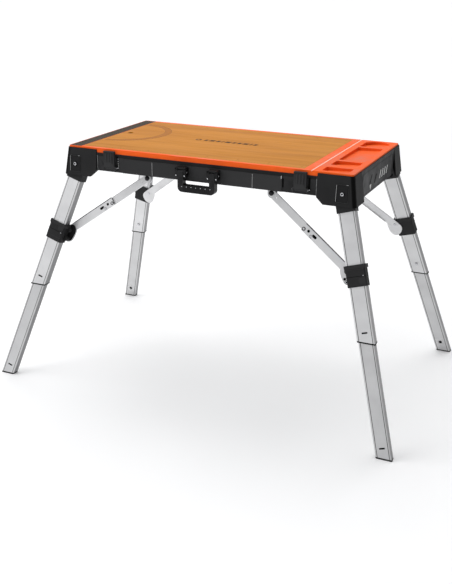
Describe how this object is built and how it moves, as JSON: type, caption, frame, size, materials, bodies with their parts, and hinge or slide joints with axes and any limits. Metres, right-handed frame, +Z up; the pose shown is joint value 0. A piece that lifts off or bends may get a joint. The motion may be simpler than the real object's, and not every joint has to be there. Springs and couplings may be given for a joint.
{
  "type": "work platform bench",
  "caption": "Portable folding work bench: a boarded top with a tool tray on four splayed, braced legs that telescope, with latches and a carry handle.",
  "frame": {"origin": "on the floor, under the middle of the top", "axes": "+X along the top towards the tool tray, +Y towards the side without the handle, +Z up"},
  "size_m": [1.3454, 0.833, 0.76],
  "materials": {
    "black_plastic": "fine textured injection moulded",
    "orange_plastic": "satin injection moulded",
    "board_wood": "sealed wood-grain board",
    "grip_strip": "granular anti-slip",
    "aluminium": "satin extruded",
    "steel": "zinc plated",
    "foot_rubber": "matte"
  },
  "bodies": {
    "table": {"base_shell": "black_plastic", "tray_frame": "orange_plastic", "worktop_board": "board_wood", "grip_strip": "grip_strip", "handle_bracket_left": "black_plastic", "handle_bracket_right": "black_plastic", "corner_housing_front_left": "black_plastic", "hinge_pin_front_left": "steel", "brace_bracket_front_left": "steel", "corner_housing_front_right": "black_plastic", "hinge_pin_front_right": "steel", "brace_bracket_front_right": "steel", "corner_housing_back_left": "black_plastic", "hinge_pin_back_left": "steel", "brace_bracket_back_left": "steel", "corner_housing_back_right": "black_plastic", "hinge_pin_back_right": "steel", "brace_bracket_back_right": "steel"},
    "handle": {"carry_handle": "black_plastic"},
    "latch_front_left": {"latch_front_left": "black_plastic"},
    "leg_front_left": {"leg_knuckle_front_left": "black_plastic", "outer_tube_front_left": "aluminium", "leg_collar_front_left": "black_plastic", "brace_pin_front_left": "steel"},
    "leg_extension_front_left": {"inner_tube_front_left": "aluminium", "foot_pad_front_left": "foot_rubber"},
    "button_front_left": {"spring_button_front_left": "steel"},
    "upper_brace_front_left": {"upper_link_front_left": "aluminium"},
    "lower_brace_front_left": {"lower_link_front_left": "aluminium"},
    "latch_front_right": {"latch_front_right": "black_plastic"},
    "leg_front_right": {"leg_knuckle_front_right": "black_plastic", "outer_tube_front_right": "aluminium", "leg_collar_front_right": "black_plastic", "brace_pin_front_right": "steel"},
    "leg_extension_front_right": {"inner_tube_front_right": "aluminium", "foot_pad_front_right": "foot_rubber"},
    "button_front_right": {"spring_button_front_right": "steel"},
    "upper_brace_front_right": {"upper_link_front_right": "aluminium"},
    "lower_brace_front_right": {"lower_link_front_right": "aluminium"},
    "latch_back_left": {"latch_back_left": "black_plastic"},
    "leg_back_left": {"leg_knuckle_back_left": "black_plastic", "outer_tube_back_left": "aluminium", "leg_collar_back_left": "black_plastic", "brace_pin_back_left": "steel"},
    "leg_extension_back_left": {"inner_tube_back_left": "aluminium", "foot_pad_back_left": "foot_rubber"},
    "button_back_left": {"spring_button_back_left": "steel"},
    "upper_brace_back_left": {"upper_link_back_left": "aluminium"},
    "lower_brace_back_left": {"lower_link_back_left": "aluminium"},
    "latch_back_right": {"latch_back_right": "black_plastic"},
    "leg_back_right": {"leg_knuckle_back_right": "black_plastic", "outer_tube_back_right": "aluminium", "leg_collar_back_right": "black_plastic", "brace_pin_back_right": "steel"},
    "leg_extension_back_right": {"inner_tube_back_right": "aluminium", "foot_pad_back_right": "foot_rubber"},
    "button_back_right": {"spring_button_back_right": "steel"},
    "upper_brace_back_right": {"upper_link_back_right": "aluminium"},
    "lower_brace_back_right": {"lower_link_back_right": "aluminium"}
  },
  "joints": [
    {"name": "leg_fold_front_left", "type": "hinge", "parent": "table", "child": "leg_front_left", "pos_m": [-0.436, -0.224, 0.7], "axis": [0, -0.9681, 0.2504], "range_deg": [0, 106.34]},
    {"name": "leg_slide_front_left", "type": "slide", "parent": "leg_front_left", "child": "leg_extension_front_left", "axis": [0.2813, 0.2403, 0.929], "range_m": [0, 0.33]},
    {"name": "button_press_front_left", "type": "slide", "parent": "leg_front_left", "child": "button_front_left", "axis": [0, -0.9681, 0.2504], "range_m": [0, 0.004], "stiffness_N_per_m": 800, "springref_m": -0.002},
    {"name": "upper_brace_fold_front_left", "type": "hinge", "parent": "table", "child": "upper_brace_front_left", "pos_m": [-0.208, -0.20339, 0.66988], "axis": [0, -0.9681, 0.2504], "range_deg": [-0.5, 161.6]},
    {"name": "lower_brace_fold_front_left", "type": "hinge", "parent": "leg_front_left", "child": "lower_brace_front_left", "pos_m": [-0.46947, -0.25903, 0.48466], "axis": [0, -0.9681, 0.2504], "range_deg": [-145.8, 0.5]},
    {"name": "latch_swing_front_left", "type": "hinge", "parent": "table", "child": "latch_front_left", "pos_m": [-0.313, -0.253, 0.703], "axis": [1, 0, 0], "range_deg": [0, 100]},
    {"name": "leg_fold_front_right", "type": "hinge", "parent": "table", "child": "leg_front_right", "pos_m": [0.436, -0.224, 0.7], "axis": [0, 0.9681, -0.2504], "range_deg": [0, 106.34]},
    {"name": "leg_slide_front_right", "type": "slide", "parent": "leg_front_right", "child": "leg_extension_front_right", "axis": [-0.2813, 0.2403, 0.929], "range_m": [0, 0.33]},
    {"name": "button_press_front_right", "type": "slide", "parent": "leg_front_right", "child": "button_front_right", "axis": [0, -0.9681, 0.2504], "range_m": [0, 0.004], "stiffness_N_per_m": 800, "springref_m": -0.002},
    {"name": "upper_brace_fold_front_right", "type": "hinge", "parent": "table", "child": "upper_brace_front_right", "pos_m": [0.208, -0.20339, 0.66988], "axis": [0, 0.9681, -0.2504], "range_deg": [-0.5, 161.6]},
    {"name": "lower_brace_fold_front_right", "type": "hinge", "parent": "leg_front_right", "child": "lower_brace_front_right", "pos_m": [0.46947, -0.25903, 0.48466], "axis": [0, 0.9681, -0.2504], "range_deg": [-145.8, 0.5]},
    {"name": "latch_swing_front_right", "type": "hinge", "parent": "table", "child": "latch_front_right", "pos_m": [0.313, -0.253, 0.703], "axis": [1, 0, 0], "range_deg": [0, 100]},
    {"name": "leg_fold_back_left", "type": "hinge", "parent": "table", "child": "leg_back_left", "pos_m": [-0.436, 0.224, 0.7], "axis": [0, -0.9681, -0.2504], "range_deg": [0, 106.34]},
    {"name": "leg_slide_back_left", "type": "slide", "parent": "leg_back_left", "child": "leg_extension_back_left", "axis": [0.2813, -0.2403, 0.929], "range_m": [0, 0.33]},
    {"name": "button_press_back_left", "type": "slide", "parent": "leg_back_left", "child": "button_back_left", "axis": [0, 0.9681, 0.2504], "range_m": [0, 0.004], "stiffness_N_per_m": 800, "springref_m": -0.002},
    {"name": "upper_brace_fold_back_left", "type": "hinge", "parent": "table", "child": "upper_brace_back_left", "pos_m": [-0.208, 0.20339, 0.66988], "axis": [0, -0.9681, -0.2504], "range_deg": [-0.5, 161.6]},
    {"name": "lower_brace_fold_back_left", "type": "hinge", "parent": "leg_back_left", "child": "lower_brace_back_left", "pos_m": [-0.46947, 0.25903, 0.48466], "axis": [0, -0.9681, -0.2504], "range_deg": [-145.8, 0.5]},
    {"name": "latch_swing_back_left", "type": "hinge", "parent": "table", "child": "latch_back_left", "pos_m": [-0.313, 0.253, 0.703], "axis": [-1, 0, 0], "range_deg": [0, 100]},
    {"name": "leg_fold_back_right", "type": "hinge", "parent": "table", "child": "leg_back_right", "pos_m": [0.436, 0.224, 0.7], "axis": [0, 0.9681, 0.2504], "range_deg": [0, 106.34]},
    {"name": "leg_slide_back_right", "type": "slide", "parent": "leg_back_right", "child": "leg_extension_back_right", "axis": [-0.2813, -0.2403, 0.929], "range_m": [0, 0.33]},
    {"name": "button_press_back_right", "type": "slide", "parent": "leg_back_right", "child": "button_back_right", "axis": [0, 0.9681, 0.2504], "range_m": [0, 0.004], "stiffness_N_per_m": 800, "springref_m": -0.002},
    {"name": "upper_brace_fold_back_right", "type": "hinge", "parent": "table", "child": "upper_brace_back_right", "pos_m": [0.208, 0.20339, 0.66988], "axis": [0, 0.9681, 0.2504], "range_deg": [-0.5, 161.6]},
    {"name": "lower_brace_fold_back_right", "type": "hinge", "parent": "leg_back_right", "child": "lower_brace_back_right", "pos_m": [0.46947, 0.25903, 0.48466], "axis": [0, 0.9681, 0.2504], "range_deg": [-145.8, 0.5]},
    {"name": "latch_swing_back_right", "type": "hinge", "parent": "table", "child": "latch_back_right", "pos_m": [0.313, 0.253, 0.703], "axis": [-1, 0, 0], "range_deg": [0, 100]},
    {"name": "handle_swing", "type": "hinge", "parent": "table", "child": "handle", "pos_m": [-0.0065, -0.2624, 0.718], "axis": [-1, 0, 0], "range_deg": [0, 90]}
  ],
  "couplings": [
    {"joint": "upper_brace_fold_front_left", "follows": "leg_fold_front_left", "ratio": 1.5099},
    {"joint": "lower_brace_fold_front_left", "follows": "leg_fold_front_left", "ratio": -1.3621},
    {"joint": "upper_brace_fold_front_right", "follows": "leg_fold_front_right", "ratio": 1.5099},
    {"joint": "lower_brace_fold_front_right", "follows": "leg_fold_front_right", "ratio": -1.3621},
    {"joint": "upper_brace_fold_back_left", "follows": "leg_fold_back_left", "ratio": 1.5099},
    {"joint": "lower_brace_fold_back_left", "follows": "leg_fold_back_left", "ratio": -1.3621},
    {"joint": "upper_brace_fold_back_right", "follows": "leg_fold_back_right", "ratio": 1.5099},
    {"joint": "lower_brace_fold_back_right", "follows": "leg_fold_back_right", "ratio": -1.3621}
  ]
}
